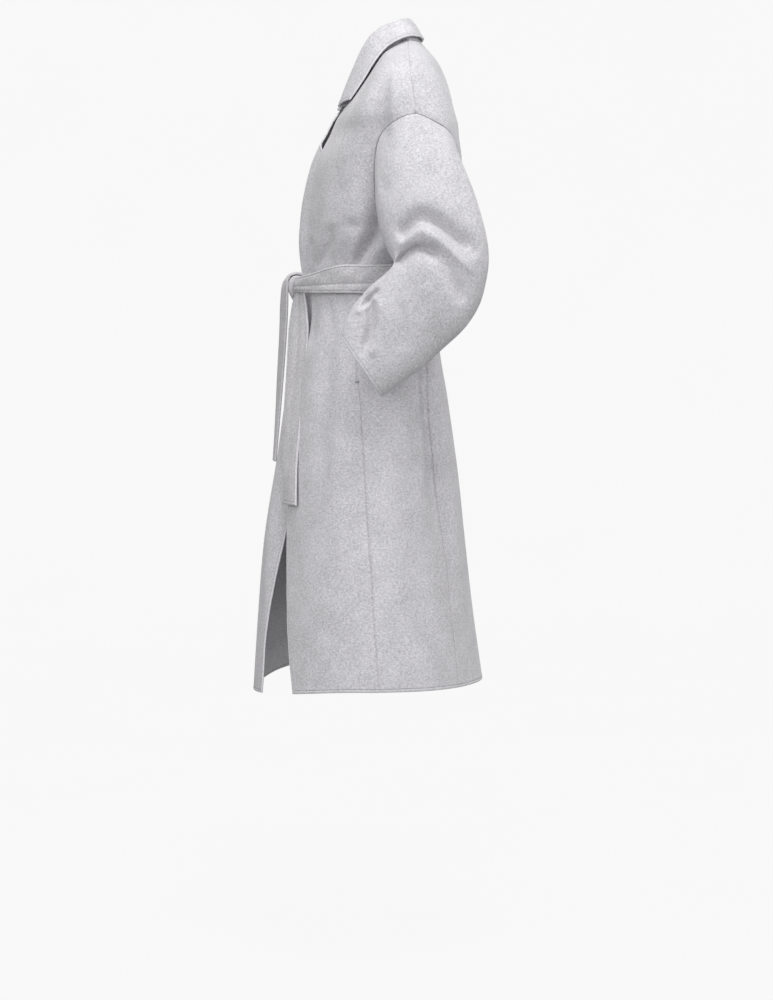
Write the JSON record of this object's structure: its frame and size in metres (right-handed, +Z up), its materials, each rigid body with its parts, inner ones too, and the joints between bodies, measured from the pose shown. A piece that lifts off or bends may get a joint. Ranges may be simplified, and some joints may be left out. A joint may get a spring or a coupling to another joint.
{
  "type": "belted wool wrap coat, worn",
  "caption": "Long belted wool coat with a rolled collar, dropped sleeves and hanging belt ends, hollow and held as worn.",
  "frame": {"origin": "between the shoulder seams, just in front of the back neck, where the wearer's shoulders hold the coat", "axes": "+Z up, -Y to the front, +X to the wearer's left"},
  "size_m": [0.605, 0.3969, 1.1461],
  "materials": {
    "wool": "soft napped double-faced wool",
    "belt_wool": "soft napped double-faced wool"
  },
  "bodies": {
    "root": {"left_front": "wool", "right_front": "wool", "left_side": "wool", "right_side": "wool", "back": "wool", "left_sleeve": "wool", "right_sleeve": "wool", "collar": "wool", "belt_band": "belt_wool", "belt_knot": "belt_wool", "belt_tail_left": "belt_wool", "belt_tail_right": "belt_wool"}
  },
  "joints": []
}
